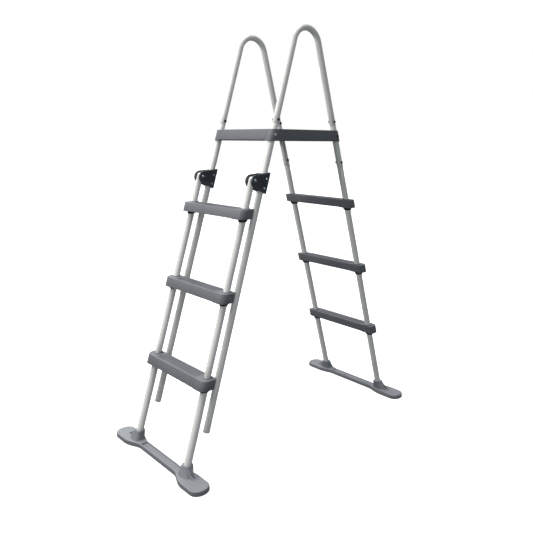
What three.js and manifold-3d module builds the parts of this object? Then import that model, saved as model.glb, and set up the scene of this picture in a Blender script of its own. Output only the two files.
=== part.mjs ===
// Above-ground pool ladder: a bolted A-frame with a platform and two handrails, fixed steps on the
// pool side, and an outer step section that flips up on two hinge brackets.
// Millimetres, +Z up, +X to the climber's right, +Y from the garden side to the pool side.
import * as THREE from 'three';
import { mergeVertices } from 'three/addons/utils/BufferGeometryUtils.js';
import Module from 'manifold-3d';

const wasm = await Module();
wasm.setup();

// ---------- driving dimensions ----------
const STILE_X = 165; // half the distance between the two side frames
const TUBE_R = 12.7;
const BORE_R = 11.2;
const SPIGOT_R = 10.2;
const SPIGOT_BORE_R = 8.8;
const LEG_SLOPE = 0.292; // how far a leg or rail moves towards the middle for each unit of height
const LEG_FOOT_Y = 532.3; // where a leg's axis meets the floor, from the middle of the A-frame
const RAIL_TOP_Z = 1653;
const RAIL_JOINT_Z = 1257;
const SPIGOT_TOP_Z = 1300;
const RAIL_BOLT_Z = 1272;
const FLIP_OFFSET_Y = 53.7; // the flip tubes stand this far in front of the outer legs
const FLIP_LOWER_R = 13.6;
const RISER = 298;
const FIRST_TREAD_Z = 342;
const PLATFORM_Z = FIRST_TREAD_Z + 3 * RISER;
const PLATFORM_THICK = 46;
const PLATFORM_WALL = 4; // plastic outside each leg at the platform's corners
const TREAD_HALF_X = 196;
const TREAD_THICK = 36;
const TREAD_FRONT = 35; // from the tube axis to the tread's edge on the climber's side
const TREAD_BACK = 22;
const COLLAR_H = 10;
const OUTER_LEG_END_Z = 143;
const INNER_JOINT_Z = 1077;
const INNER_BOLT_Z = 1101;
const PIVOT_Z = 1043;
const BRACKET_BOLTS_Z = [1046, 1011];
const BRACKET_HALF_X = 20;
const FOOT_H = 18;
const FOOT_BOSS_Z = 52;
const FOOT_HALF_X = 285;
const FOOT_AXIS_Z = 25; // the bar is centred under the tubes' axes at this height
const FOOT_SOCKET_Z = 14; // the bottom of the tubes, inside the foot
const GAP = 0.35; // between pieces that touch
const ROUND = 16; // sides of a round section
const MODEL_SHIFT_Y = 26.85; // puts the origin under the middle of the whole ladder

const lean = Math.atan(LEG_SLOPE);
const alongLeg = (z) => z / Math.cos(lean);
const legY = (z) => LEG_FOOT_Y - LEG_SLOPE * z;
const flipY = (z) => legY(z) + FLIP_OFFSET_Y;

// ---------- materials ----------
function surface(color, roughness, metalness) {
  return new THREE.MeshStandardMaterial({ color, roughness, metalness });
}

const materials = {
  tube: () => surface(0xd6d6d0, 0.45, 0.2),
  plastic: () => surface(0x85878c, 0.6, 0),
  black: () => surface(0x24262a, 0.55, 0),
  zinc: () => surface(0xb9bcc0, 0.35, 0.9),
  bush: () => surface(0xe4e4df, 0.5, 0),
};

// ---------- solids ----------
function toSolid(geometry) {
  const bare = geometry.clone();
  bare.deleteAttribute('normal');
  bare.deleteAttribute('uv');
  const merged = mergeVertices(bare, 1e-4);
  return new wasm.Manifold(new wasm.Mesh({
    numProp: 3,
    vertProperties: new Float32Array(merged.attributes.position.array),
    triVerts: new Uint32Array(merged.index.array),
  }));
}

function toGeometry(solid) {
  const mesh = solid.getMesh();
  const geometry = new THREE.BufferGeometry();
  geometry.setAttribute('position', new THREE.BufferAttribute(mesh.vertProperties, 3));
  geometry.setIndex(new THREE.BufferAttribute(mesh.triVerts, 1));
  geometry.computeVertexNormals();
  return geometry;
}

function cut(geometry, ...tools) {
  let solid = toSolid(geometry);
  for (const tool of tools) solid = solid.subtract(toSolid(tool));
  return toGeometry(solid);
}

function join(...geometries) {
  let solid = toSolid(geometries[0]);
  for (const piece of geometries.slice(1)) solid = solid.add(toSolid(piece));
  return toGeometry(solid);
}

function common(first, second) {
  return toGeometry(toSolid(first).intersect(toSolid(second)));
}

// A closed profile of [radius, height] points turned round the Z axis.
function turned(profile, sides = ROUND) {
  const points = profile.map(([r, z]) => new THREE.Vector2(r, z));
  if (profile[0][0] > 0) points.push(points[0].clone());
  const geometry = new THREE.LatheGeometry(points, sides);
  geometry.rotateX(Math.PI / 2);
  return geometry;
}

// Moves every height's slice of a shape sideways along Y, so that upright walls follow a leaning tube.
function sheared(geometry, slope) {
  geometry.applyMatrix4(new THREE.Matrix4().makeShear(0, 0, 0, 0, 0, slope));
  return geometry;
}

function slab(outline, thickness) {
  const settings = { depth: thickness, bevelEnabled: false, curveSegments: 6 };
  const geometry = new THREE.ExtrudeGeometry(outline, settings);
  geometry.translate(0, 0, -thickness);
  return geometry;
}

function block(x, y, z, at) {
  const geometry = new THREE.BoxGeometry(x, y, z);
  geometry.translate(...at);
  return geometry;
}

function crossHole(radius, length, at) {
  const geometry = new THREE.CylinderGeometry(radius, radius, length, 12);
  geometry.rotateZ(Math.PI / 2);
  geometry.translate(...at);
  return geometry;
}

function roundedRectangle(x0, x1, y0, y1, radius) {
  const shape = new THREE.Shape();
  shape.moveTo(x0 + radius, y0);
  shape.lineTo(x1 - radius, y0);
  shape.absarc(x1 - radius, y0 + radius, radius, -Math.PI / 2, 0);
  shape.lineTo(x1, y1 - radius);
  shape.absarc(x1 - radius, y1 - radius, radius, 0, Math.PI / 2);
  shape.lineTo(x0 + radius, y1);
  shape.absarc(x0 + radius, y1 - radius, radius, Math.PI / 2, Math.PI);
  shape.lineTo(x0, y0 + radius);
  shape.absarc(x0 + radius, y0 + radius, radius, Math.PI, 1.5 * Math.PI);
  return shape;
}

// The level cross-section of a leaning tube.
function levelSection(x, y, radius) {
  const hole = new THREE.Path();
  hole.absellipse(x, y, radius, radius / Math.cos(lean), 0, 2 * Math.PI);
  return hole;
}

function levelCylinder(x, y, radius, height, slope) {
  const geometry = new THREE.CylinderGeometry(radius, radius, height, ROUND);
  geometry.rotateX(Math.PI / 2);
  geometry.scale(1, 1 / Math.cos(lean), 1);
  sheared(geometry, slope);
  geometry.translate(x, y, 0);
  return geometry;
}

// A tube along Z from z0 to z1, open at both ends, with a spigot on top where spigotTop is given.
function tube(z0, z1, spigotTop, outer = TUBE_R) {
  const step = 3;
  const profile = spigotTop
    ? [[BORE_R, z0], [outer, z0], [outer, z1], [SPIGOT_R, z1], [SPIGOT_R, spigotTop],
      [SPIGOT_BORE_R, spigotTop], [SPIGOT_BORE_R, z1 - step], [BORE_R, z1 - step]]
    : [[BORE_R, z0], [outer, z0], [outer, z1], [BORE_R, z1]];
  return turned(profile);
}

// A through-bolt along X with a domed head at +X and a hexagonal nut at -X; grip is head to nut.
function bolt(grip, shank, head) {
  const half = grip / 2 + GAP;
  const dome = [[0, -half - 1], [shank, -half - 1], [shank, half], [head, half], [head, half + 1.5],
    [head * 0.75, half + 3.4], [0, half + 4]];
  const pin = turned(dome, 12);
  const nut = new THREE.CylinderGeometry(head, head, 5, 6);
  nut.rotateX(Math.PI / 2);
  nut.translate(0, 0, -half - 2.5);
  const whole = join(pin, nut);
  whole.rotateY(Math.PI / 2);
  return whole;
}

const holeFor = (z, shank) => crossHole(shank + GAP, 80, [0, 0, alongLeg(z)]);

// ---------- handrail ----------
// Up one side, round the bend and down the other, in the Y-Z plane.
class RailPath extends THREE.Curve {
  static ARC_STEPS = 9;

  constructor() {
    super();
    this.startZ = RAIL_JOINT_Z + GAP;
    const topZ = RAIL_TOP_Z - TUBE_R;
    // the bend's radius makes both straight legs tangent to it
    this.radius = legY(topZ) / (1 / Math.cos(lean) - LEG_SLOPE);
    this.centreZ = topZ - this.radius;
  }

  getPoint(t) {
    const step = t * (RailPath.ARC_STEPS + 2);
    const start = new THREE.Vector3(0, -legY(this.startZ), this.startZ);
    const onArc = (k) => {
      const turn = Math.PI - lean - (k / RailPath.ARC_STEPS) * (Math.PI - 2 * lean);
      const rise = this.radius * Math.sin(turn);
      return new THREE.Vector3(0, this.radius * Math.cos(turn), this.centreZ + rise);
    };
    if (step <= 1) return start.lerp(onArc(0), step);
    if (step < RailPath.ARC_STEPS + 1) return onArc(step - 1);
    const end = new THREE.Vector3(0, legY(this.startZ), this.startZ);
    return onArc(RailPath.ARC_STEPS).lerp(end, step - RailPath.ARC_STEPS - 1);
  }

  getUtoTmapping(u) {
    return u;
  }
}

function handrail() {
  const section = new THREE.Shape();
  section.absarc(0, 0, TUBE_R, 0, 2 * Math.PI);
  const bore = new THREE.Path();
  bore.absarc(0, 0, BORE_R, 0, 2 * Math.PI);
  section.holes.push(bore);
  const bent = new THREE.ExtrudeGeometry(section, {
    extrudePath: new RailPath(),
    steps: RailPath.ARC_STEPS + 2,
    curveSegments: ROUND / 2,
    bevelEnabled: false,
  });
  const holes = [-1, 1].map((side) => crossHole(3 + GAP, 80, [0, side * legY(RAIL_BOLT_Z), RAIL_BOLT_Z]));
  return cut(bent, ...holes);
}

// ---------- treads, collars and platform ----------
// Origin between the two tube axes on the tread's top face; slope is how far the tubes move along +Y
// for each unit of height, and front is -1 or +1, the side that the climber stands on.
function tread(front, slope, holeRadius) {
  const near = front < 0 ? -TREAD_FRONT : -TREAD_BACK;
  const far = front < 0 ? TREAD_BACK : TREAD_FRONT;
  const outline = roundedRectangle(-TREAD_HALF_X, TREAD_HALF_X, near, far, 16);
  outline.holes.push(levelSection(-STILE_X, 0, holeRadius), levelSection(STILE_X, 0, holeRadius));
  const body = sheared(slab(outline, TREAD_THICK), slope);
  const pockets = [];
  const count = 4;
  const bay = 2 * (STILE_X - 24) / count;
  for (let i = 0; i < count; i += 1) {
    const x = (i - (count - 1) / 2) * bay;
    const centre = [x, (near + far) / 2, -TREAD_THICK / 2 - 4];
    const pocket = block(bay - 4, far - near - 7, TREAD_THICK, centre);
    pockets.push(sheared(pocket, slope));
  }
  return cut(body, ...pockets);
}

// A tapered ring under a tread, round its tube; origin on the tube axis at the ring's level top face.
function collar(slope, bore) {
  const ring = turned([[bore, 0], [bore, -COLLAR_H], [bore + 2, -COLLAR_H], [bore + 5.5, 0]]);
  ring.scale(1, 1 / Math.cos(lean), 1);
  return sheared(ring, slope);
}

// The deck's two long edges lean with the legs on their own side. Origin on its top face.
function platform() {
  const cornerR = TUBE_R + PLATFORM_WALL;
  const halfX = STILE_X + cornerR;
  const edge = legY(PLATFORM_Z) + cornerR / Math.cos(lean);
  const beyond = 60;
  const outerPlan = roundedRectangle(-halfX, halfX, -edge, edge + beyond, cornerR);
  const innerPlan = roundedRectangle(-halfX, halfX, -edge - beyond, edge, cornerR);
  const deck = common(
    sheared(slab(outerPlan, PLATFORM_THICK), LEG_SLOPE),
    sheared(slab(innerPlan, PLATFORM_THICK), -LEG_SLOPE),
  );
  const tools = [];
  for (const side of [-1, 1]) {
    for (const x of [-STILE_X, STILE_X]) {
      const y = side * legY(PLATFORM_Z);
      tools.push(levelCylinder(x, y, TUBE_R + GAP, 4 * PLATFORM_THICK, -side * LEG_SLOPE));
      const boltZ = -PLATFORM_THICK / 2;
      tools.push(crossHole(3 + GAP, 80, [x, side * legY(PLATFORM_Z + boltZ), boltZ]));
    }
  }
  // pockets between the ribs of the underside; the outer rows leave room for the bolts' nuts
  const skin = 5;
  const pocketZ = -PLATFORM_THICK / 2 - skin;
  const nutFace = STILE_X - TUBE_R - PLATFORM_WALL;
  for (const [x, width] of [[-nutFace + 49, 98], [0, 90], [nutFace - 49, 98]]) {
    for (const side of [-1, 1]) {
      tools.push(block(width, 70, PLATFORM_THICK, [x, side * 37.5, pocketZ]));
      tools.push(sheared(block(width, 110, PLATFORM_THICK, [x, side * 129, pocketZ]), -side * LEG_SLOPE));
    }
  }
  for (const side of [-1, 1]) {
    tools.push(block(25, 280, PLATFORM_THICK, [side * (STILE_X - 0.5), 0, pocketZ]));
  }
  return cut(deck, ...tools);
}

// ---------- hinge bracket ----------
// Two cheeks that carry the pivot, closed round the outer leg. Origin at the pivot.
function bracket() {
  const legAxis = FLIP_OFFSET_Y; // at the pivot's height
  const wrap = (TUBE_R + 3) / Math.cos(lean);
  const rear = (z) => legAxis + LEG_SLOPE * z + wrap;
  const outline = new THREE.Shape();
  outline.moveTo(rear(28), 28);
  outline.lineTo(rear(-53), -53);
  outline.absarc(9, -4, 26, 1.3 * Math.PI, 0.56 * Math.PI, true);
  const body = new THREE.ExtrudeGeometry(outline, {
    depth: 2 * BRACKET_HALF_X,
    bevelEnabled: false,
    curveSegments: 10,
  });
  // the outline is drawn with Y across and Z up, then stood in that plane
  body.translate(0, 0, -BRACKET_HALF_X);
  body.applyMatrix4(new THREE.Matrix4().set(0, 0, 1, 0, 1, 0, 0, 0, 0, 1, 0, 0, 0, 0, 0, 1));
  const slotEnd = legAxis - TUBE_R - 6;
  const slot = sheared(block(2 * (TUBE_R + 1), 60, 200, [0, slotEnd - 30, 0]), LEG_SLOPE);
  const leg = levelCylinder(0, legAxis, TUBE_R + GAP, 300, LEG_SLOPE);
  const holes = [crossHole(4 + GAP, 80, [0, 0, 0])];
  for (const z of BRACKET_BOLTS_Z) {
    const dz = z - PIVOT_Z;
    holes.push(crossHole(3 + GAP, 80, [0, legAxis + LEG_SLOPE * dz, dz]));
  }
  return cut(body, slot, leg, ...holes);
}

// ---------- foot bars ----------
// A flat bar that widens into a round-ended pad outside each tube, with a sloping socket on it.
// Origin on the floor under the middle of the bar; front is -1 or +1 as for a tread.
function foot(front, slope, tubeR) {
  const barBack = -16 * front;
  const barFront = 20 * front;
  const padBack = -32 * front;
  const padFront = 46 * front;
  const padX = FOOT_HALF_X - 34;
  const half = new THREE.Shape();
  half.moveTo(0, barBack);
  half.lineTo(STILE_X - 52, barBack);
  half.bezierCurveTo(STILE_X - 24, barBack, STILE_X - 10, padBack, STILE_X + 36, padBack);
  half.lineTo(padX, padBack);
  half.bezierCurveTo(FOOT_HALF_X + 11, padBack, FOOT_HALF_X + 11, padFront, padX, padFront);
  half.lineTo(STILE_X + 40, padFront);
  half.bezierCurveTo(STILE_X - 4, padFront, STILE_X - 22, barFront, STILE_X - 52, barFront);
  half.lineTo(0, barFront);
  const right = slab(half, FOOT_H);
  right.translate(0, 0, FOOT_H);
  let solid = toSolid(right).add(toSolid(right).mirror([1, 0, 0]));
  for (const side of [-1, 1]) {
    const bossBase = 4;
    const boss = new THREE.CylinderGeometry(TUBE_R + 6.5, TUBE_R + 13, FOOT_BOSS_Z - bossBase, ROUND);
    boss.rotateX(Math.PI / 2);
    boss.translate(0, 0, (FOOT_BOSS_Z + bossBase) / 2);
    sheared(boss, slope);
    boss.translate(side * STILE_X, -slope * FOOT_AXIS_Z, 0);
    solid = solid.add(toSolid(boss));
    for (const y of [-7, 7]) {
      const rib = new THREE.Shape();
      rib.moveTo(0, 0);
      rib.lineTo(side * 78, 0);
      rib.quadraticCurveTo(side * 30, 2, 0, 28);
      const web = new THREE.ExtrudeGeometry(rib, { depth: 4, bevelEnabled: false, curveSegments: 6 });
      web.rotateX(Math.PI / 2);
      web.translate(side * (STILE_X + 15), y + 2, FOOT_H - 1);
      solid = solid.add(toSolid(web));
    }
  }
  const trough = block(2 * (STILE_X - 40), 26, 8, [0, (barBack + barFront) / 2, FOOT_H]);
  solid = solid.subtract(toSolid(trough));
  for (const x of [-STILE_X, STILE_X]) {
    const socket = levelCylinder(x, -slope * FOOT_AXIS_Z, tubeR + GAP, 160, slope);
    const below = block(80, 200, 160, [x, 0, FOOT_SOCKET_Z - 80]);
    solid = solid.subtract(toSolid(socket).subtract(toSolid(below)));
  }
  return toGeometry(solid);
}

// ---------- assembly ----------
const ladder = new THREE.Group();
ladder.position.y = MODEL_SHIFT_Y;

function add(parent, name, geometry, material, place = {}) {
  const mesh = new THREE.Mesh(geometry, material());
  mesh.name = name;
  mesh.position.set(place.x ?? 0, place.y ?? 0, place.z ?? 0);
  parent.add(mesh);
  return mesh;
}

// A group whose Z axis runs up a leaning tube. side is -1 for the outer legs and +1 for the inner ones.
function stile(x, footY, side) {
  const group = new THREE.Group();
  group.position.set(x, side * footY, 0);
  group.rotation.x = side * lean;
  ladder.add(group);
  return group;
}

const hands = [['left', -STILE_X], ['right', STILE_X]];

for (const [hand, x] of hands) {
  const mirror = Math.sign(x);

  add(ladder, `handrail_${hand}`, handrail(), materials.tube, { x });

  // outer leg, with its end plug
  const outer = stile(x, LEG_FOOT_Y, -1);
  const outerHoles = [RAIL_BOLT_Z, PLATFORM_Z - PLATFORM_THICK / 2, ...BRACKET_BOLTS_Z];
  const outerTube = tube(alongLeg(OUTER_LEG_END_Z), alongLeg(RAIL_JOINT_Z), alongLeg(SPIGOT_TOP_Z));
  const outerDrills = outerHoles.map((z) => holeFor(z, 3));
  add(outer, `outer_leg_${hand}`, cut(outerTube, ...outerDrills), materials.tube);
  const end = alongLeg(OUTER_LEG_END_Z) - GAP;
  const plug = turned([[0, end - 2], [TUBE_R - 0.4, end - 2], [TUBE_R - 0.4, end], [BORE_R - GAP, end],
    [BORE_R - GAP, end + 14], [0, end + 14]]);
  add(outer, `outer_leg_plug_${hand}`, plug, materials.plastic);

  // inner leg in two lengths
  const inner = stile(x, LEG_FOOT_Y, 1);
  const upper = tube(alongLeg(INNER_JOINT_Z), alongLeg(RAIL_JOINT_Z), alongLeg(SPIGOT_TOP_Z));
  const upperHoles = [RAIL_BOLT_Z, PLATFORM_Z - PLATFORM_THICK / 2, INNER_BOLT_Z];
  const upperDrills = upperHoles.map((z) => holeFor(z, 3));
  add(inner, `inner_upper_leg_${hand}`, cut(upper, ...upperDrills), materials.tube);
  const lowerTop = alongLeg(INNER_JOINT_Z) - GAP;
  const lower = tube(alongLeg(FOOT_SOCKET_Z + 5), lowerTop, alongLeg(INNER_JOINT_Z + 42));
  add(inner, `inner_lower_leg_${hand}`, cut(lower, holeFor(INNER_BOLT_Z, 3)), materials.tube);
  const jointBolt = add(inner, `leg_joint_bolt_${hand}`, bolt(2 * TUBE_R, 3, 5.5), materials.black);
  jointBolt.position.z = alongLeg(INNER_BOLT_Z);
  jointBolt.rotation.y = mirror < 0 ? Math.PI : 0;

  // platform bolts and handrail bolts, on both legs of the side
  for (const [row, side] of [['outer', -1], ['inner', 1]]) {
    const boltZ = PLATFORM_Z - PLATFORM_THICK / 2;
    const grip = 2 * (TUBE_R + PLATFORM_WALL);
    const deckBolt = add(ladder, `platform_bolt_${row}_${hand}`, bolt(grip, 3, 5.5), materials.zinc,
      { x, y: side * legY(boltZ), z: boltZ });
    deckBolt.rotation.y = mirror < 0 ? Math.PI : 0;
    const railAt = { x, y: side * legY(RAIL_BOLT_Z), z: RAIL_BOLT_Z };
    const railScrew = bolt(2 * TUBE_R, 3, 5.5);
    const railBolt = add(ladder, `handrail_bolt_${row}_${hand}`, railScrew, materials.black, railAt);
    railBolt.rotation.y = mirror < 0 ? Math.PI : 0;
  }

  // hinge bracket with its two clamp bolts and the pin
  const pivotY = -flipY(PIVOT_Z);
  add(ladder, `hinge_bracket_${hand}`, bracket(), materials.black, { x, y: pivotY, z: PIVOT_Z });
  for (const [place, z] of [['upper', BRACKET_BOLTS_Z[0]], ['lower', BRACKET_BOLTS_Z[1]]]) {
    const screw = bolt(2 * BRACKET_HALF_X, 3, 5);
    const clampAt = { x, y: -legY(z), z };
    const clamp = add(ladder, `bracket_bolt_${place}_${hand}`, screw, materials.zinc, clampAt);
    clamp.rotation.y = mirror < 0 ? Math.PI : 0;
  }
  const pinScrew = bolt(2 * BRACKET_HALF_X, 4, 6.5);
  const pinAt = { x, y: pivotY, z: PIVOT_Z };
  const pin = add(ladder, `hinge_pin_${hand}`, pinScrew, materials.zinc, pinAt);
  pin.rotation.y = mirror < 0 ? Math.PI : 0;

  // flip section's tubes
  const flip = stile(x, LEG_FOOT_Y + FLIP_OFFSET_Y, -1);
  const jointZ = alongLeg(FIRST_TREAD_Z - 14);
  const topZ = alongLeg(PIVOT_Z) + 15;
  const upperFlip = turned([[BORE_R, jointZ], [TUBE_R, jointZ], [TUBE_R, topZ - 8],
    [TUBE_R - 3, topZ - 2.5],
    [TUBE_R - 7, topZ], [0, topZ], [0, topZ - 2], [BORE_R, topZ - 8], [BORE_R, jointZ]].slice(0, -1));
  const pivotHole = crossHole(5.5 + GAP, 80, [0, 0, alongLeg(PIVOT_Z)]);
  add(flip, `flip_tube_${hand}`, cut(upperFlip, pivotHole), materials.tube);
  const bush = turned([[4 + GAP, -13.3], [5.5, -13.3], [5.5, 13.3], [4 + GAP, 13.3]], 12);
  bush.rotateY(Math.PI / 2);
  add(flip, `hinge_bush_${hand}`, bush, materials.bush, { z: alongLeg(PIVOT_Z) });
  const endZ = alongLeg(FOOT_SOCKET_Z + 5);
  const lowerFlip = turned([[BORE_R, endZ], [FLIP_LOWER_R, endZ],
    [FLIP_LOWER_R, jointZ - GAP], [SPIGOT_R, jointZ - GAP], [SPIGOT_R, jointZ + 40],
    [SPIGOT_BORE_R, jointZ + 40], [SPIGOT_BORE_R, jointZ - 3], [BORE_R, jointZ - 3]]);
  add(flip, `flip_lower_tube_${hand}`, lowerFlip, materials.tube);
}

add(ladder, 'platform', platform(), materials.plastic, { z: PLATFORM_Z });

// steps of both sections, bottom to top, each with a collar under it on either tube
for (const [row, side, axisY] of [['outer', -1, flipY], ['inner', 1, legY]]) {
  const slope = -side * LEG_SLOPE;
  for (let step = 1; step <= 3; step += 1) {
    const topZ = FIRST_TREAD_Z + (step - 1) * RISER;
    const wide = row === 'outer' && step === 1;
    const bore = (wide ? FLIP_LOWER_R : TUBE_R) + 0.85;
    const treadAt = { y: side * axisY(topZ), z: topZ };
    add(ladder, `${row}_tread_${step}`, tread(side, slope, bore), materials.plastic, treadAt);
    const collarZ = topZ - TREAD_THICK - GAP;
    for (const [hand, x] of hands) {
      add(ladder, `${row}_collar_${step}_${hand}`, collar(slope, bore - 0.2), materials.black,
        { x, y: side * axisY(collarZ), z: collarZ });
    }
  }
  const footY = side * axisY(FOOT_AXIS_Z);
  const tubeR = row === 'outer' ? FLIP_LOWER_R : TUBE_R;
  add(ladder, `${row}_foot`, foot(side, slope, tubeR), materials.plastic, { y: footY });
}

export default ladder;
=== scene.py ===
"""Pool ladder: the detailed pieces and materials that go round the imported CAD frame. Metres, Z up."""

import math

import bmesh
import bpy
from mathutils import Matrix, Vector


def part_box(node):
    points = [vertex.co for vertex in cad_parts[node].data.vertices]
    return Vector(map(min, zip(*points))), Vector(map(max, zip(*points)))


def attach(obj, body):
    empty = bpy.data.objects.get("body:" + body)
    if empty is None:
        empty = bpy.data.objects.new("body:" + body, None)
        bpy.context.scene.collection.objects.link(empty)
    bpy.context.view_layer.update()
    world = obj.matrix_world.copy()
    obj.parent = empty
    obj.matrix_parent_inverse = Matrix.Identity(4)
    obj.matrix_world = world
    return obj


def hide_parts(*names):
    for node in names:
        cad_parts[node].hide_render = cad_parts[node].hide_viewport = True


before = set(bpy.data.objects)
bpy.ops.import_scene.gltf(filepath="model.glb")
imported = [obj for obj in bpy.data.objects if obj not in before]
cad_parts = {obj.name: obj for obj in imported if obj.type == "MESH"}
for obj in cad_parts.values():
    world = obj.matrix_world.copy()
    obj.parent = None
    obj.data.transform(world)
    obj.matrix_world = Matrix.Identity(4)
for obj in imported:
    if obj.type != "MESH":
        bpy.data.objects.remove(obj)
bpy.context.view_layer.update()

# ---------- dimensions, in metres, as in the CAD source ----------
MM = 0.001
STILE_X = 0.165
TUBE_R = 0.0127
FLIP_LOWER_R = 0.0136
WALL = 0.0015
SLOPE = 0.292
LEG_FOOT_Y = 0.5323
FLIP_OFFSET_Y = 0.0537
RISER = 0.298
FIRST_TREAD_Z = 0.342
PLATFORM_Z = FIRST_TREAD_Z + 3 * RISER
PLATFORM_THICK = 0.046
CORNER_R = TUBE_R + 0.004
RAIL_JOINT_Z = 1.257
RAIL_BOLT_Z = 1.272
RAIL_TOP_Z = 1.653
INNER_JOINT_Z = 1.077
INNER_BOLT_Z = 1.101
OUTER_LEG_END_Z = 0.143
FLIP_JOINT_Z = FIRST_TREAD_Z - 0.014
PIVOT_Z = 1.043
BRACKET_BOLTS_Z = (1.046, 1.011)
BRACKET_HALF_X = 0.020
FOOT_AXIS_Z = 0.025
FOOT_BOSS_Z = 0.052
FOOT_H = 0.018
TREAD_THICK = 0.036
GAP = 0.35 * MM

LEAN = math.atan(SLOPE)
_low, _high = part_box("platform")
MID_Y = (_low.y + _high.y) / 2
HANDS = (("left", -1), ("right", 1))


def leg_y(z):
    return LEG_FOOT_Y - SLOPE * z


def flip_y(z):
    return leg_y(z) + FLIP_OFFSET_Y


# ---------- mesh helpers ----------
def new_object(name, verts, faces):
    mesh = bpy.data.meshes.new(name)
    mesh.from_pydata([tuple(v) for v in verts], [], faces)
    obj = bpy.data.objects.new(name, mesh)
    bpy.context.scene.collection.objects.link(obj)
    bm = bmesh.new()
    bm.from_mesh(mesh)
    bmesh.ops.remove_doubles(bm, verts=bm.verts, dist=1e-6)
    bmesh.ops.recalc_face_normals(bm, faces=bm.faces)
    bm.to_mesh(mesh)
    bm.free()
    return obj


def bake(obj):
    """Applies every modifier."""
    graph = bpy.context.evaluated_depsgraph_get()
    mesh = bpy.data.meshes.new_from_object(obj.evaluated_get(graph))
    obj.modifiers.clear()
    obj.data = mesh
    return obj


def join(name, pieces):
    """One object from several, as separate closed shells."""
    bm = bmesh.new()
    for piece in pieces:
        mesh = piece.data
        mesh.transform(piece.matrix_world)
        bm.from_mesh(mesh)
        bpy.data.objects.remove(piece)
    mesh = bpy.data.meshes.new(name)
    bm.to_mesh(mesh)
    bm.free()
    obj = bpy.data.objects.new(name, mesh)
    bpy.context.scene.collection.objects.link(obj)
    return obj


def boolean(obj, tool, operation="DIFFERENCE"):
    modifier = obj.modifiers.new("cut", "BOOLEAN")
    modifier.operation = operation
    modifier.solver = "EXACT"
    modifier.use_self = True
    modifier.object = tool
    bake(obj)
    bpy.data.objects.remove(tool)
    return obj


def bevel(obj, width, segments=2, angle=40):
    modifier = obj.modifiers.new("bevel", "BEVEL")
    modifier.width = width
    modifier.segments = segments
    modifier.limit_method = "ANGLE"
    modifier.angle_limit = math.radians(angle)
    modifier.use_clamp_overlap = True
    modifier.miter_outer = "MITER_ARC"
    return bake(obj)


def smooth(obj, angle=35):
    obj.data.polygons.foreach_set("use_smooth", [True] * len(obj.data.polygons))
    obj.data.set_sharp_from_angle(angle=math.radians(angle))
    return obj


def loft(name, rings, closed=False):
    """Joins rings of equally many points. Open ends are capped; closed joins the last ring to the first."""
    count = len(rings[0])
    verts = [v for ring in rings for v in ring]
    faces = []
    spans = len(rings) if closed else len(rings) - 1
    for i in range(spans):
        a, b = i * count, ((i + 1) % len(rings)) * count
        for j in range(count):
            k = (j + 1) % count
            faces.append((a + j, a + k, b + k, b + j))
    if not closed:
        faces.append(tuple(range(count)))
        faces.append(tuple(range(len(verts) - count, len(verts))))
    return new_object(name, verts, faces)


def prism(name, outline, z0, z1, slope=0.0):
    """An outline in plan, extruded between two heights; slope shifts it along Y with height."""
    low = [(x, y + slope * z0, z0) for x, y in outline]
    high = [(x, y + slope * z1, z1) for x, y in outline]
    return loft(name, [low, high])


def box(name, x0, x1, y0, y1, z0, z1, slope=0.0):
    return prism(name, [(x0, y0), (x1, y0), (x1, y1), (x0, y1)], z0, z1, slope)


def circle(radius, sides):
    return [(radius * math.cos(2 * math.pi * i / sides), radius * math.sin(2 * math.pi * i / sides))
            for i in range(sides)]


def rounded(x0, x1, y0, y1, radii, steps=8):
    """A rectangle with its own radius at each corner, in the order (x0, y0), (x1, y0), (x1, y1), (x0, y1)."""
    corners = (
        (x0, y0, 1, 1, math.pi),
        (x1, y0, -1, 1, 1.5 * math.pi),
        (x1, y1, -1, -1, 0),
        (x0, y1, 1, -1, 0.5 * math.pi),
    )
    points = []
    for (x, y, sx, sy, start), r in zip(corners, radii):
        for i in range(steps + 1):
            turn = start + 0.5 * math.pi * i / steps
            points.append((x + sx * r + r * math.cos(turn), y + sy * r + r * math.sin(turn)))
    return points


def turned(name, profile, sides=48, slope=0.0, stretch=1.0):
    """Points of (radius, height) turned round Z, stretched along Y and sheared to follow a leaning tube."""
    rings = [[(x, stretch * y + slope * z, z) for x, y in circle(r, sides)] for r, z in profile]
    return loft(name, rings, closed=True)


def rod(name, x, y, z, radius, half_length, sides=32):
    """A plain cutter along X."""
    ends = (x - half_length, x + half_length)
    return loft(name, [[(end, y + a, z + b) for a, b in circle(radius, sides)] for end in ends])


def leaning_rod(name, x, y, radius, z0, z1, slope, sides=48):
    """A cutter that follows a leaning tube, level at both ends; x, y is where its axis meets z = 0."""
    stretch = 1 / math.cos(LEAN)
    ring = [(x + a, y + stretch * b) for a, b in circle(radius, sides)]
    return prism(name, ring, z0, z1, slope)


def place(obj, x=0.0, y=0.0, z=0.0):
    obj.data.transform(Matrix.Translation((x, y + MID_Y, z)))
    return obj


def fit(obj, nodes, material, body):
    """The last step for every piece: what it stands for, its finish, and the body it moves with."""
    obj.data.materials.clear()
    obj.data.materials.append(material)
    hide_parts(*nodes)
    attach(obj, body)
    return obj


# ---------- materials ----------
def new_material(name, color, roughness, metallic=0.0):
    material = bpy.data.materials.new(name)
    material.use_nodes = True
    nodes = material.node_tree.nodes
    shader = nodes["Principled BSDF"]
    shader.inputs["Base Color"].default_value = (*color, 1)
    shader.inputs["Roughness"].default_value = roughness
    shader.inputs["Metallic"].default_value = metallic
    return material, nodes, material.node_tree.links, shader


def noise(nodes, links, coordinates, scale, detail=3.0, roughness=0.55):
    texture = nodes.new("ShaderNodeTexNoise")
    texture.inputs["Scale"].default_value = scale
    texture.inputs["Detail"].default_value = detail
    texture.inputs["Roughness"].default_value = roughness
    links.new(coordinates, texture.inputs["Vector"])
    return texture.outputs["Fac"]


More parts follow.
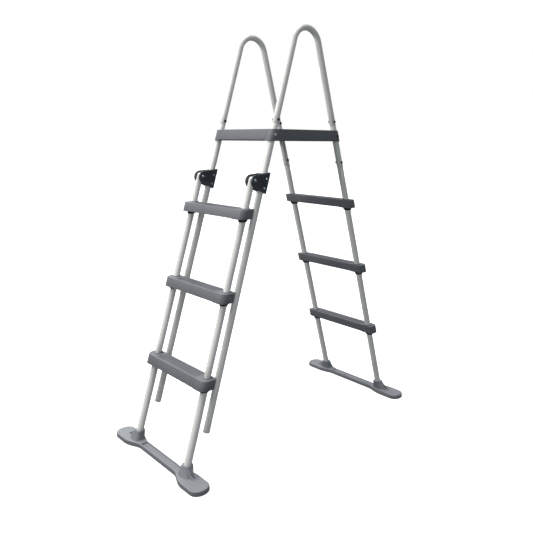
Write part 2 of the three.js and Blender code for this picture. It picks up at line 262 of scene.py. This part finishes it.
def remap(nodes, links, value, low, high, from_low=0.3, from_high=0.7):
    node = nodes.new("ShaderNodeMapRange")
    node.inputs["From Min"].default_value = from_low
    node.inputs["From Max"].default_value = from_high
    node.inputs["To Min"].default_value = low
    node.inputs["To Max"].default_value = high
    links.new(value, node.inputs["Value"])
    return node.outputs["Result"]


def finish_material(name, color, tint, roughness, grain, bump, metallic=0.0, mottle=14.0, coat=0.0):
    """The colour drifts towards tint, the gloss varies, and the surface has a fine moulded or sprayed grain."""
    material, nodes, links, shader = new_material(name, color, sum(roughness) / 2, metallic)
    where = nodes.new("ShaderNodeTexCoord").outputs["Object"]
    cloud = noise(nodes, links, where, mottle, 4.0)
    speck = noise(nodes, links, where, grain * 0.35, 2.0)
    mix = nodes.new("ShaderNodeMix")
    mix.data_type = "RGBA"
    mix.inputs["A"].default_value = (*color, 1)
    mix.inputs["B"].default_value = (*tint, 1)
    links.new(remap(nodes, links, cloud, 0.0, 1.0), mix.inputs["Factor"])
    fleck = nodes.new("ShaderNodeMix")
    fleck.data_type = "RGBA"
    fleck.blend_type = "MULTIPLY"
    fleck.inputs["B"].default_value = (0.93, 0.93, 0.94, 1)
    links.new(remap(nodes, links, speck, 0.0, 1.0, 0.52, 0.7), fleck.inputs["Factor"])
    links.new(mix.outputs["Result"], fleck.inputs["A"])
    links.new(fleck.outputs["Result"], shader.inputs["Base Color"])
    sheen_noise = noise(nodes, links, where, mottle * 4, 3.0)
    links.new(remap(nodes, links, sheen_noise, roughness[0], roughness[1]), shader.inputs["Roughness"])
    fine = noise(nodes, links, where, grain, 2.0, 0.6)
    bump_node = nodes.new("ShaderNodeBump")
    bump_node.inputs["Strength"].default_value = bump
    bump_node.inputs["Distance"].default_value = 0.0002
    links.new(fine, bump_node.inputs["Height"])
    links.new(bump_node.outputs["Normal"], shader.inputs["Normal"])
    shader.inputs["Coat Weight"].default_value = coat
    shader.inputs["Coat Roughness"].default_value = 0.2
    return material


TUBE = finish_material(
    "tube_powder_coat", (0.84, 0.83, 0.79), (0.79, 0.78, 0.745), (0.34, 0.44),
    grain=900.0, bump=0.12, mottle=6.0, coat=0.15)
STEP = finish_material(
    "step_plastic", (0.139, 0.145, 0.158), (0.160, 0.165, 0.176), (0.46, 0.58), grain=2200.0, bump=0.35)
FOOT = finish_material(
    "foot_plastic", (0.200, 0.208, 0.226), (0.215, 0.221, 0.236), (0.42, 0.54), grain=2200.0, bump=0.3)
BLACK = finish_material(
    "black_plastic", (0.016, 0.018, 0.021), (0.024, 0.026, 0.03), (0.36, 0.5), grain=1800.0, bump=0.25)
# the collars' black plastic, lightened here as a painted highlight for the grey sheen its diamond-patterned
# cheeks catch
BRACKET_PAINTED_HIGHLIGHT = finish_material(
    "bracket_plastic_painted_highlight", (0.052, 0.060, 0.070), (0.066, 0.074, 0.084), (0.34, 0.48), grain=1800.0, bump=0.25)
BUSH = finish_material(
    "white_plastic", (0.72, 0.72, 0.70), (0.68, 0.68, 0.66), (0.3, 0.4), grain=1500.0, bump=0.1)
PLUG = finish_material(
    "plug_plastic", (0.20, 0.205, 0.21), (0.23, 0.23, 0.235), (0.45, 0.55), grain=1800.0, bump=0.25)
ZINC = finish_material(
    "zinc_plate", (0.62, 0.63, 0.65), (0.52, 0.53, 0.56), (0.22, 0.38),
    metallic=1.0, grain=1200.0, bump=0.1, mottle=120.0)
BLACK_STEEL = finish_material(
    "black_steel", (0.02, 0.02, 0.022), (0.035, 0.034, 0.033), (0.3, 0.45),
    metallic=0.4, grain=1200.0, bump=0.12, mottle=120.0)

# ---------- tubes ----------
SIDES = 48
LIP = 0.6 * MM


def ring_at(point, tangent, rx, rn):
    """A ring square to a path that lies in a plane of constant X."""
    across = Vector((1, 0, 0))
    up = tangent.cross(across)
    return [point + across * (rx * a) + up * (rn * b) for a, b in circle(1.0, SIDES)]


def tube(name, path, radius):
    """A hollow tube along path, a list of (point, unit tangent), with its end lips rounded."""
    (p0, t0), (p1, t1) = path[0], path[-1]
    lip = ((0.0, radius - LIP), (0.3 * LIP, radius - 0.3 * LIP), (LIP, radius))
    outer = [ring_at(p0 + t0 * along, t0, r, r) for along, r in lip]
    outer += [ring_at(p, t, radius, radius) for p, t in path[1:-1]]
    outer += [ring_at(p1 - t1 * along, t1, r, r) for along, r in reversed(lip)]
    bore = radius - WALL
    inner = [ring_at(p, t, bore, bore) for p, t in reversed(path)]
    return smooth(loft(name, outer + inner, closed=True), 60)


def leg_point(x, side, offset, z):
    return Vector((x, side * (leg_y(z) + offset) + MID_Y, z))


def leg_path(x, side, offset, z0, z1, spacing=0.06):
    tangent = Vector((0, -side * SLOPE, 1)).normalized()
    count = max(2, round((z1 - z0) / spacing))
    return [(leg_point(x, side, offset, z0 + (z1 - z0) * i / count), tangent) for i in range(count + 1)]


def rail_path(x, arc_steps=40):
    top = RAIL_TOP_Z - TUBE_R
    radius = leg_y(top) / (1 / math.cos(LEAN) - SLOPE)
    centre_z = top - radius
    path = []
    for i in range(arc_steps + 1):
        turn = math.pi - LEAN - (math.pi - 2 * LEAN) * i / arc_steps
        point = Vector((x, MID_Y + radius * math.cos(turn), centre_z + radius * math.sin(turn)))
        path.append((point, Vector((0, math.sin(turn), -math.cos(turn)))))
    start_z = RAIL_JOINT_Z + GAP
    arc_z = path[0][0].z
    up = leg_path(x, -1, 0, start_z, arc_z)[:-1]
    tangent = Vector((0, SLOPE, -1)).normalized()
    down = [(point, tangent) for point, _ in reversed(leg_path(x, 1, 0, start_z, arc_z))]
    return up + path + down[1:]


PRESSED_START_Z = PIVOT_Z - 0.062
PRESSED_HALF_X = TUBE_R - 3.4 * MM
PRESSED_HALF_Y = TUBE_R + 0.8 * MM
DOME_REACH = 14.5 * MM


def flattened_flip_tube(name, x):
    """The flip tube's upper length, pressed narrower at its closed top so that it enters the bracket."""
    path = leg_path(x, -1, FLIP_OFFSET_Y, FLIP_JOINT_Z, PRESSED_START_Z)
    rings = [ring_at(path[0][0], path[0][1], TUBE_R - LIP, TUBE_R - LIP)]
    rings.append(ring_at(path[0][0] + path[0][1] * LIP, path[0][1], TUBE_R, TUBE_R))
    rings += [ring_at(p, t, TUBE_R, TUBE_R) for p, t in path[1:]]
    base, tangent = path[-1]
    length = (leg_point(x, -1, FLIP_OFFSET_Y, PIVOT_Z) - base).length
    for share in (0.2, 0.4, 0.6, 0.8, 1.0):
        ease = share * share * (3 - 2 * share)
        half_x = TUBE_R + (PRESSED_HALF_X - TUBE_R) * ease
        half_y = TUBE_R + (PRESSED_HALF_Y - TUBE_R) * ease
        rings.append(ring_at(base + tangent * (length * share), tangent, half_x, half_y))
    for i in range(1, 10):
        turn = 0.5 * math.pi * i / 10
        centre = base + tangent * (length + DOME_REACH * math.sin(turn))
        half_x = PRESSED_HALF_X * (0.45 + 0.55 * math.cos(turn))
        rings.append(ring_at(centre, tangent, half_x, PRESSED_HALF_Y * math.cos(turn)))
    return smooth(loft(name, rings), 50)


TUBE_END_Z = 0.019  # inside the feet's sockets

for hand, sign in HANDS:
    x = sign * STILE_X
    outer_leg = leg_path(x, -1, 0, OUTER_LEG_END_Z, RAIL_JOINT_Z)
    inner_upper = leg_path(x, 1, 0, INNER_JOINT_Z, RAIL_JOINT_Z)
    inner_lower = leg_path(x, 1, 0, TUBE_END_Z, INNER_JOINT_Z - GAP)
    flip_lower = leg_path(x, -1, FLIP_OFFSET_Y, TUBE_END_Z, FLIP_JOINT_Z - GAP)
    for piece, node, body in (
        (tube(f"handrail_tube_{hand}", rail_path(x), TUBE_R), "handrail", "frame"),
        (tube(f"outer_leg_tube_{hand}", outer_leg, TUBE_R), "outer_leg", "frame"),
        (tube(f"inner_upper_tube_{hand}", inner_upper, TUBE_R), "inner_upper_leg", "frame"),
        (tube(f"inner_lower_tube_{hand}", inner_lower, TUBE_R + 0.2 * MM), "inner_lower_leg", "frame"),
        (flattened_flip_tube(f"flip_upper_tube_{hand}", x), "flip_tube", "flip_section"),
        (tube(f"flip_lower_sleeve_{hand}", flip_lower, FLIP_LOWER_R), "flip_lower_tube", "flip_section"),
    ):
        fit(piece, [f"{node}_{hand}"], TUBE, body)


# ---------- treads ----------
def shear_y(obj, slope):
    obj.data.transform(Matrix(((1, 0, 0, 0), (0, 1, slope, 0), (0, 0, 1, 0), (0, 0, 0, 1))))
    return obj


TREAD_HALF_X = 0.195
TREAD_USER = 0.035  # from the tube axes to the edge on the climber's side
TREAD_WALL_SIDE = 0.022
TREAD_USER_R, TREAD_WALL_R = 0.024, 0.007  # corner radii in plan
BAY_COUNT, BAY_PITCH = 5, 0.054
GROOVE_COUNT, GROOVE_PITCH = 35, 0.0075


def spaced(count, pitch):
    return [(i - (count - 1) / 2) * pitch for i in range(count)]


def tread(name, front, slope, hole_r):
    """Origin between the tube axes on the top face. front is -1 or +1, the side of the deeper overhang."""
    radii = (TREAD_USER_R, TREAD_USER_R, TREAD_WALL_R, TREAD_WALL_R)
    outline = rounded(-TREAD_HALF_X, TREAD_HALF_X, -TREAD_USER, TREAD_WALL_SIDE, radii)
    body = prism(name, outline, -TREAD_THICK, 0)
    cuts = [box("middle", -0.137, 0.137, -0.06, 0.06, -0.06, -TREAD_THICK + 0.0015)]
    rib, wall, skin = 0.0015, 0.004, 0.005
    for x in spaced(BAY_COUNT, BAY_PITCH):
        cuts.append(box("bay", x - BAY_PITCH / 2 + rib, x + BAY_PITCH / 2 - rib,
                        -TREAD_USER + wall, TREAD_WALL_SIDE - wall, -TREAD_THICK + wall, -skin))
    boolean(body, join("cuts", cuts))
    bevel(body, 2.0 * MM, 3)
    grooves = []
    half_width, y0, y1 = 0.0014, -TREAD_USER + 0.0075, TREAD_WALL_SIDE - 0.0065
    for x in spaced(GROOVE_COUNT, GROOVE_PITCH):
        plan = rounded(x - half_width, x + half_width, y0, y1, (0.0013,) * 4, 3)
        grooves.append(prism("groove", plan, -0.0008, 0.01))
    # a shallow line that frames the ribbed panel at both ends
    half_width, y0, y1 = 0.0006, -TREAD_USER + 0.016, TREAD_WALL_SIDE - 0.008
    for x in (-0.1885, 0.1885):
        grooves.append(box("line", x - half_width, x + half_width, y0, y1, -0.0009, 0.01))
    boolean(body, join("grooves", grooves))
    shear_y(body, slope)
    if front > 0:
        body.data.transform(Matrix.Diagonal((1, -1, 1, 1)))
        shear_y(body, 2 * slope)
    holes = [leaning_rod("hole", side * STILE_X, 0, hole_r, -0.1, 0.05, slope) for side in (-1, 1)]
    boolean(body, join("holes", holes))
    # the raised rings round the tube holes
    profile = [(hole_r, -0.004), (hole_r, 0.0018), (hole_r + 0.0008, 0.0026), (hole_r + 0.0026, 0.0026),
               (hole_r + 0.0036, 0.0014), (hole_r + 0.0036, -0.004)]
    rings = []
    for side in (-1, 1):
        ring = turned("ring", profile, slope=slope, stretch=1 / math.cos(LEAN))
        ring.data.transform(Matrix.Translation((side * STILE_X, 0, 0)))
        rings.append(ring)
    whole = join(name, [body, *rings])
    bm = bmesh.new()
    bm.from_mesh(whole.data)
    bmesh.ops.recalc_face_normals(bm, faces=bm.faces)
    bm.to_mesh(whole.data)
    bm.free()
    return smooth(whole, 32)


def collar(name, bore, slope):
    profile = [(bore, 0.0), (bore, -0.0098), (bore + 0.0006, -0.0104), (bore + 0.0016, -0.0104),
               (bore + 0.0026, -0.0094), (bore + 0.0052, -0.0012), (bore + 0.0052, 0.0)]
    return smooth(turned(name, profile, slope=slope, stretch=1 / math.cos(LEAN)), 35)


for row, side, axis_y, body in (("outer", -1, flip_y, "flip_section"), ("inner", 1, leg_y, "frame")):
    slope = -side * SLOPE
    for step in (1, 2, 3):
        top = FIRST_TREAD_Z + (step - 1) * RISER
        tube_r = FLIP_LOWER_R if row == "outer" and step == 1 else TUBE_R
        piece = tread(f"{row}_step_{step}", side, slope, tube_r + 0.4 * MM)
        place(piece, 0, side * axis_y(top), top)
        fit(piece, [f"{row}_tread_{step}"], STEP, body)
        under = top - TREAD_THICK - GAP
        for hand, sign in HANDS:
            ring = collar(f"{row}_step_collar_{step}_{hand}", tube_r + 0.4 * MM, slope)
            place(ring, sign * STILE_X, side * axis_y(under), under)
            fit(ring, [f"{row}_collar_{step}_{hand}"], BLACK, body)


# ---------- platform ----------
def splayed(obj, slope):
    """Leans every point with the legs on its own side."""
    for vertex in obj.data.vertices:
        vertex.co.y -= slope * vertex.co.z * math.copysign(1, vertex.co.y)
    return obj


def platform(name):
    half_x = STILE_X + CORNER_R
    half_y = leg_y(PLATFORM_Z) + CORNER_R / math.cos(LEAN)
    plan = rounded(-half_x, half_x, -half_y, half_y, (CORNER_R,) * 4)
    deck = splayed(prism(name, plan, -PLATFORM_THICK, 0), SLOPE)
    deep = half_y + SLOPE * PLATFORM_THICK
    block = 0.040
    lip_z = -PLATFORM_THICK + 0.005
    cuts = []
    for side in (-1, 1):
        xs = sorted((side * (half_x - 0.0025), side * (half_x + 0.02)))
        cuts.append(box("lip", *xs, -half_y + block, half_y - block, -0.06, lip_z))
        ys = sorted((side * (deep - 0.0045), side * (deep + 0.03)))
        cuts.append(box("lip", -half_x + block, half_x - block, *ys, -0.06, lip_z))
    nut_face = STILE_X - CORNER_R
    for x0, x1 in ((-nut_face, -0.050), (-0.045, 0.045), (0.050, nut_face)):
        for side in (-1, 1):
            cuts.append(box("pocket", x0, x1, *sorted((side * 0.0025, side * 0.0725)), -0.07, -0.005))
            outer_pocket = box("pocket", x0, x1, *sorted((side * 0.0765, side * 0.1840)), -0.07, -0.005)
            cuts.append(splayed(outer_pocket, SLOPE))
    for side in (-1, 1):
        cuts.append(box("side_pocket", *sorted((side * 0.153, side * 0.176)), -0.138, 0.138, -0.07, -0.005))
    boolean(deck, join("cuts", cuts))
    bevel(deck, 1.8 * MM, 3)
    grooves = []
    half_width = 0.0021
    for x in spaced(29, 0.0095):
        for y0, y1 in ((-0.168, -0.006), (0.006, 0.168)):
            plan = rounded(x - half_width, x + half_width, y0, y1, (0.002,) * 4, 3)
            grooves.append(prism("groove", plan, -0.0016, 0.01))
    # the seams round each corner block
    for sx in (-1, 1):
        for sy in (-1, 1):
            x = sx * (STILE_X - 0.021)
            ys = sorted((sy * (half_y - 0.0009), sy * (half_y + 0.02)))
            grooves.append(splayed(box("seam", x - 0.0006, x + 0.0006, *ys, -0.07, -0.003), SLOPE))
            y = sy * (half_y - 0.038)
            xs = sorted((sx * (half_x - 0.0009), sx * (half_x + 0.01)))
            grooves.append(splayed(box("seam", *xs, y - 0.0006, y + 0.0006, -0.07, -0.003), SLOPE))
    boolean(deck, join("grooves", grooves))
    holes = []
    for sx in (-1, 1):
        for sy in (-1, 1):
            y = sy * leg_y(PLATFORM_Z)
            holes.append(leaning_rod("hole", sx * STILE_X, y, TUBE_R + 0.9 * MM, -0.1, 0.05, -sy * SLOPE))
    boolean(deck, join("holes", holes))
    bolts = []
    for sx in (-1, 1):
        for sy in (-1, 1):
            z = -PLATFORM_THICK / 2
            bolts.append(rod("bolt_hole", sx * STILE_X, sy * leg_y(PLATFORM_Z + z), z, 3.4 * MM, 0.03))
    boolean(deck, join("bolt_holes", bolts))
    return smooth(deck, 32)


fit(place(platform("platform_deck"), z=PLATFORM_Z), ["platform"], STEP, "frame")


# ---------- fasteners ----------
def along_x(profile, sides):
    """Rings round the X axis from points of (radius, x)."""
    return [[(x, a, b) for a, b in circle(r, sides)] for r, x in profile]


def bolt(name, grip, shank, head):
    """Along X, its domed socket head at +X and a chamfered hexagonal nut with a washer at -X."""
    half = grip / 2 + GAP
    sides = 32
    pin = loft("pin", along_x((
        (shank, -half - 6 * MM),
        (shank, half),
        (head, half),
        (head, half + 1.2 * MM),
        (head * 0.93, half + 2.2 * MM),
        (head * 0.78, half + 3.2 * MM),
        (head * 0.56, half + 3.8 * MM),
        (head * 0.47, half + 3.85 * MM),
        (head * 0.42, half + 3.6 * MM),
        (head * 0.42, half + 1.8 * MM),
        (0.0001, half + 1.8 * MM),
    ), sides))
    nut = loft("nut", along_x(((head * 0.99, -half - 0.8 * MM), (head * 0.99, -half - 5 * MM)), 6))
    bevel(nut, 0.5 * MM, 2)
    washer = loft("washer", along_x((
        (shank, -half),
        (head * 1.08, -half),
        (head * 1.08, -half - 0.8 * MM),
        (shank, -half - 0.8 * MM),
    ), sides), closed=True)
    return smooth(join(name, [pin, nut, washer]), 30)


def add_bolt(name, node, sign, y, z, size, material):
    """size is the grip and the radii of shank and head. The head faces away from the ladder's middle."""
    piece = bolt(name, *size)
    if sign < 0:
        piece.data.transform(Matrix.Rotation(math.pi, 4, "Z"))
    fit(place(piece, sign * STILE_X, y, z), [node], material, "frame")


DECK_BOLT = (2 * CORNER_R, 3 * MM, 5.5 * MM)
LEG_BOLT = (2 * TUBE_R, 3 * MM, 5.5 * MM)
CLAMP_BOLT = (2 * BRACKET_HALF_X, 3 * MM, 4.6 * MM)
PIVOT_PIN = (2 * BRACKET_HALF_X, 4 * MM, 6.2 * MM)

for hand, sign in HANDS:
    for row, side in (("outer", -1), ("inner", 1)):
        z = PLATFORM_Z - PLATFORM_THICK / 2
        add_bolt(f"deck_bolt_{row}_{hand}", f"platform_bolt_{row}_{hand}", sign, side * leg_y(z), z,
                 DECK_BOLT, ZINC if row == "outer" else BLACK_STEEL)
        add_bolt(f"rail_bolt_{row}_{hand}", f"handrail_bolt_{row}_{hand}", sign, side * leg_y(RAIL_BOLT_Z),
                 RAIL_BOLT_Z, LEG_BOLT, BLACK_STEEL)
    add_bolt(f"leg_bolt_{hand}", f"leg_joint_bolt_{hand}", sign, leg_y(INNER_BOLT_Z), INNER_BOLT_Z,
             LEG_BOLT, BLACK_STEEL)
    for spot, z in zip(("upper", "lower"), BRACKET_BOLTS_Z):
        add_bolt(f"clamp_bolt_{spot}_{hand}", f"bracket_bolt_{spot}_{hand}", sign, -leg_y(z), z,
                 CLAMP_BOLT, ZINC)
    add_bolt(f"pivot_pin_{hand}", f"hinge_pin_{hand}", sign, -flip_y(PIVOT_Z), PIVOT_Z,
             PIVOT_PIN, ZINC)


# ---------- hinge brackets ----------
def bracket_outline(inset=0.0):
    """The cheek's edge in (y, z) from the pivot: a round nose in front and a straight rear along the leg."""
    wrap = (TUBE_R + 0.003) / math.cos(LEAN)

    def rear(z):
        return FLIP_OFFSET_Y + SLOPE * z + wrap - inset * 1.05

    nose_r, nose_y, nose_z = 0.026 - inset, 0.009, -0.004
    top, bottom = 0.028 - inset, -0.053 + inset * 2.1
    points = [(rear(top), top), (rear(bottom), bottom)]
    for i in range(25):
        turn = math.pi * (1.3 - (1.3 - 0.56) * i / 24)
        points.append((nose_y + nose_r * math.cos(turn), nose_z + nose_r * math.sin(turn)))
    return points


def plate(name, outline, x0, x1):
    return loft(name, [[(x0, y, z) for y, z in outline], [(x1, y, z) for y, z in outline]])


def inside(point, outline):
    hit = False
    count = len(outline)
    for i in range(count):
        (y0, z0), (y1, z1) = outline[i], outline[(i + 1) % count]
        if (z0 > point[1]) != (z1 > point[1]) and point[0] < (y1 - y0) * (point[1] - z0) / (z1 - z0) + y0:
            hit = not hit
    return hit


def bracket(name):
    half = BRACKET_HALF_X
    body = plate(name, bracket_outline(), -half, half)
    slot_end = FLIP_OFFSET_Y - TUBE_R - 0.006
    boolean(body, box("slot", -TUBE_R - 0.001, TUBE_R + 0.001, slot_end - 0.08, slot_end, -0.1, 0.1, SLOPE))
    boolean(body, leaning_rod("leg", 0, FLIP_OFFSET_Y, TUBE_R + 0.5 * MM, -0.15, 0.15, SLOPE))
    bevel(body, 1.2 * MM, 3)
    # diamond cells pressed into both cheeks, inside a plain rim and clear of the fasteners
    field = bracket_outline(0.0045)
    clamps = [(FLIP_OFFSET_Y + SLOPE * (z - PIVOT_Z), z - PIVOT_Z) for z in BRACKET_BOLTS_Z]
    bosses = [(0.0, 0.0, 0.0095)]
    bosses += [(y, z, 0.0085) for y, z in clamps]
    cell_y, cell_z, web = 0.0125, 0.0080, 0.0009
    cells = []
    for row in range(-16, 12):
        for column in range(-4, 12):
            cy = column * cell_y + (row % 2) * cell_y / 2
            cz = row * cell_z / 2
            half_y, half_z = cell_y / 2 - web, cell_z / 2 - web * 0.8
            corners = ((cy - half_y, cz), (cy, cz - half_z), (cy + half_y, cz), (cy, cz + half_z))
            if not all(inside(corner, field) for corner in corners):
                continue
            if any(math.hypot(cy - by, cz - bz) < r for by, bz, r in bosses):
                continue
            for side in (-1, 1):
                cells.append(plate("cell", corners, *sorted((side * (half - 0.0016), side * (half + 0.002)))))
    boolean(body, join("cells", cells))
    holes = [rod("hole", 0, 0, 0, 4.4 * MM, 0.03)]
    holes += [rod("hole", 0, y, z, 3.4 * MM, 0.03) for y, z in clamps]
    boolean(body, join("holes", holes))
    return smooth(body, 30)


for hand, sign in HANDS:
    piece = place(bracket(f"hinge_clevis_{hand}"), sign * STILE_X, -flip_y(PIVOT_Z), PIVOT_Z)
    fit(piece, [f"hinge_bracket_{hand}"], BRACKET_PAINTED_HIGHLIGHT, "frame")


# ---------- feet ----------
def bezier(a, b, c, d, steps):
    points = []
    for i in range(1, steps + 1):
        t = i / steps
        k = (1 - t) ** 3, 3 * t * (1 - t) ** 2, 3 * t * t * (1 - t), t ** 3
        points.append(tuple(sum(w * p[n] for w, p in zip(k, (a, b, c, d))) for n in (0, 1)))
    return points


def foot_outline(front, inset=0.0):
    """Plan of the whole bar, with its two pads. front is the climber's side."""
    end_x, pad_x = 0.285 - inset, 0.251
    back, bar = -0.016 + inset, 0.020 - inset
    pad_back, pad_front = -0.032 + inset, 0.046 - inset
    neck = STILE_X - 0.052
    half = [(0.0, back), (neck, back)]
    half += bezier(half[-1], (STILE_X - 0.024, back), (STILE_X - 0.010, pad_back),
                   (STILE_X + 0.036, pad_back), 14)
    half.append((pad_x, pad_back))
    bulge = pad_x + (end_x - pad_x) * 4 / 3
    half += bezier(half[-1], (bulge, pad_back), (bulge, pad_front), (pad_x, pad_front), 24)
    half.append((STILE_X + 0.040, pad_front))
    half += bezier(half[-1], (STILE_X - 0.004, pad_front), (STILE_X - 0.022, bar), (neck, bar), 14)
    half.append((0.0, bar))
    mirrored = [(-x, y) for x, y in reversed(half) if x > 0]
    return [(x, y * front) for x, y in half + mirrored]


FOOT_LEVELS = (  # height, and how far the outline is inset there
    (0.0, 1.4 * MM),
    (1.4 * MM, 0.4 * MM),
    (3.2 * MM, 0.0),
    (14.6 * MM, 0.3 * MM),
    (16.6 * MM, 1.0 * MM),
    (17.6 * MM, 2.2 * MM),
    (FOOT_H, 3.6 * MM),
)
BOSS_BASE_Z = 0.006
BOSS_SQUARENESS = 3.2
RIB_Y = 0.0075
RIB_HALF_WIDTH = 0.0026
RIB_REACH = 0.072


def boss(side, front, slope):
    """A squarish socket that leans with its tube and widens towards the pad, most of all outwards."""
    rings = []
    for i in range(9):
        z = BOSS_BASE_Z + (FOOT_BOSS_Z - BOSS_BASE_Z) * i / 8
        flare = (1 - i / 8) ** 1.15
        ring = []
        for dx, dy in circle(1.0, 48):
            swell = (abs(dx) ** BOSS_SQUARENESS + abs(dy) ** BOSS_SQUARENESS) ** (-1 / BOSS_SQUARENESS)
            dx, dy = dx * swell, dy * swell
            # the wall side is flatter than the climber's side
            squash = 0.86 if dy * front < 0 else 1.0
            reach_x = 0.0185 + (0.024 if dx > 0 else 0.009) * flare
            reach_y = (0.0190 + 0.009 * flare) * squash
            ring.append((side * (STILE_X + reach_x * dx), reach_y * dy + slope * (z - FOOT_AXIS_Z), z))
        rings.append(ring)
    return loft("boss", rings)


def rib(side, y, slope):
    """A fin that falls in a hollow curve from the boss's rim to the pad."""
    rings = []
    for i in range(13):
        share = i / 12
        x = side * (STILE_X + 0.014 + RIB_REACH * share)
        z = FOOT_H - 0.003 + 0.036 * (1 - share) ** 1.8
        middle = y + slope * (z - FOOT_AXIS_Z) * 0.6
        rings.append([
            (x, middle - RIB_HALF_WIDTH, 0.008),
            (x, middle + RIB_HALF_WIDTH, 0.008),
            (x, middle + RIB_HALF_WIDTH * 0.6, z),
            (x, middle - RIB_HALF_WIDTH * 0.6, z),
        ])
    return loft("rib", rings)


def foot(name, front, slope, tube_r):
    body = loft(name, [[(x, y, z) for x, y in foot_outline(front, inset)] for z, inset in FOOT_LEVELS])
    trough = rounded(-0.118, 0.118, *sorted((-0.0112 * front, 0.0152 * front)), (0.004,) * 4, 4)
    boolean(body, prism("trough", trough, 0.0125, 0.03))
    parts = []
    for side in (-1, 1):
        parts.append(boss(side, front, slope))
        parts += [rib(side, y, slope) for y in (-RIB_Y, RIB_Y)]
    whole = join(name, [body, *parts])
    union = whole.modifiers.new("union", "REMESH")
    union.mode = "VOXEL"
    union.voxel_size = 1.1 * MM
    union.adaptivity = 0.0
    bake(whole)
    relax = whole.modifiers.new("relax", "SMOOTH")
    relax.factor = 0.5
    relax.iterations = 2
    bake(whole)
    axis_y = -slope * FOOT_AXIS_Z
    sockets = [leaning_rod("socket", side * STILE_X, axis_y, tube_r + 0.9 * MM, 0.016, 0.12, slope)
               for side in (-1, 1)]
    boolean(whole, join("sockets", sockets))
    for vertex in whole.data.vertices:
        vertex.co.z = max(vertex.co.z, 0.0)
    return smooth(whole, 50)


for row, side, axis_y, body, tube_r in (
    ("outer", -1, flip_y, "flip_section", FLIP_LOWER_R),
    ("inner", 1, leg_y, "frame", TUBE_R),
):
    piece = foot(f"{row}_foot_bar", side, -side * SLOPE, tube_r)
    place(piece, 0, side * axis_y(FOOT_AXIS_Z), 0)
    fit(piece, [f"{row}_foot"], FOOT, body)


# ---------- CAD nodes that stay, with their own finish ----------
for hand, _ in HANDS:
    for node, material in ((f"hinge_bush_{hand}", BUSH), (f"outer_leg_plug_{hand}", PLUG)):
        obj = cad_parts[node]
        obj.data.materials.clear()
        obj.data.materials.append(material)
        smooth(obj, 40)

# ---------- stage, light and camera ----------
def emitter(name, color, strength):
    material = bpy.data.materials.new(name)
    material.use_nodes = True
    nodes = material.node_tree.nodes
    nodes.remove(nodes["Principled BSDF"])
    glow = nodes.new("ShaderNodeEmission")
    glow.inputs["Color"].default_value = (*color, 1)
    glow.inputs["Strength"].default_value = strength
    material.node_tree.links.new(glow.outputs["Emission"], nodes["Material Output"].inputs["Surface"])
    return material


FLOOR_R = 30.0
floor = prism("floor", circle(FLOOR_R, 64), -0.01, -0.0002)
floor_material, _, _, floor_shader = new_material("pale_floor", (0.86, 0.86, 0.86), 0.9)
floor_shader.inputs["Emission Color"].default_value = (1, 1, 1, 1)
floor_shader.inputs["Emission Strength"].default_value = 0.55
floor_shader.inputs["Specular IOR Level"].default_value = 0.1
floor.data.materials.append(floor_material)
floor.visible_diffuse = False
floor.visible_glossy = False

dome_bm = bmesh.new()
bmesh.ops.create_icosphere(dome_bm, subdivisions=4, radius=25.0)
dome_mesh = bpy.data.meshes.new("backdrop")
dome_bm.to_mesh(dome_mesh)
dome_bm.free()
dome = bpy.data.objects.new("backdrop", dome_mesh)
bpy.context.scene.collection.objects.link(dome)
dome_mesh.materials.append(emitter("backdrop_white", (1, 1, 1), 1.0))
dome.visible_diffuse = False
dome.visible_glossy = False
dome.visible_shadow = False
dome.visible_transmission = False
dome.visible_volume_scatter = False

world = bpy.data.worlds.new("studio")
bpy.context.scene.world = world
world.use_nodes = True
world.node_tree.nodes["Background"].inputs["Color"].default_value = (0.86, 0.94, 1.0, 1)
world.node_tree.nodes["Background"].inputs["Strength"].default_value = 0.17


def sun(name, direction, strength, softness, color=(1, 1, 1)):
    data = bpy.data.lights.new(name, "SUN")
    data.energy = strength
    data.angle = math.radians(softness)
    data.color = color
    lamp = bpy.data.objects.new(name, data)
    bpy.context.scene.collection.objects.link(lamp)
    lamp.rotation_mode = "QUATERNION"
    lamp.rotation_quaternion = Vector(direction).to_track_quat("Z", "Y")


sun("overhead", (-0.10, -0.05, 1.0), 2.9, 45)
sun("side_fill", (-0.9, 0.15, 0.35), 1.1, 50, (0.92, 0.96, 1.0))
sun("camera_fill", (0.85, -0.5, 0.3), 0.5, 60, (0.92, 0.96, 1.0))

softbox = bpy.data.lights.new("softbox", "AREA")
softbox.shape = "SQUARE"
softbox.size = 1.6
softbox.energy = 95
softbox.color = (1.0, 0.985, 0.96)
softbox_lamp = bpy.data.objects.new("softbox", softbox)
bpy.context.scene.collection.objects.link(softbox_lamp)
SOFTBOX_AT, SOFTBOX_AIM = Vector((-1.5, -2.9, 3.0)), Vector((0.0, 0.0, 0.85))
softbox_lamp.location = SOFTBOX_AT
softbox_lamp.rotation_mode = "QUATERNION"
softbox_lamp.rotation_quaternion = (SOFTBOX_AT - SOFTBOX_AIM).to_track_quat("Z", "Y")

YAW, PITCH, ROLL = math.radians(47.91), math.radians(4.62), 0.008
EYE = Vector((1.7938, MID_Y - 1.6735, 1.1895))
forward = Vector((-math.sin(YAW) * math.cos(PITCH), math.cos(YAW) * math.cos(PITCH), -math.sin(PITCH)))
right = forward.cross(Vector((0, 0, 1))).normalized()
up = right.cross(forward)
axis_x = right * math.cos(ROLL) + up * math.sin(ROLL)
axis_y = up * math.cos(ROLL) - right * math.sin(ROLL)
camera_data = bpy.data.cameras.new("camera")
camera = bpy.data.objects.new("camera", camera_data)
bpy.context.scene.collection.objects.link(camera)
bpy.context.scene.camera = camera
camera.matrix_world = Matrix.Translation(EYE) @ Matrix((axis_x, axis_y, -forward)).transposed().to_4x4()
camera_data.sensor_width = 36
camera_data.lens = 38.93
camera_data.shift_x = -0.0019
camera_data.shift_y = -0.148
camera_data.clip_end = 200
bpy.context.scene.view_settings.view_transform = "Standard"
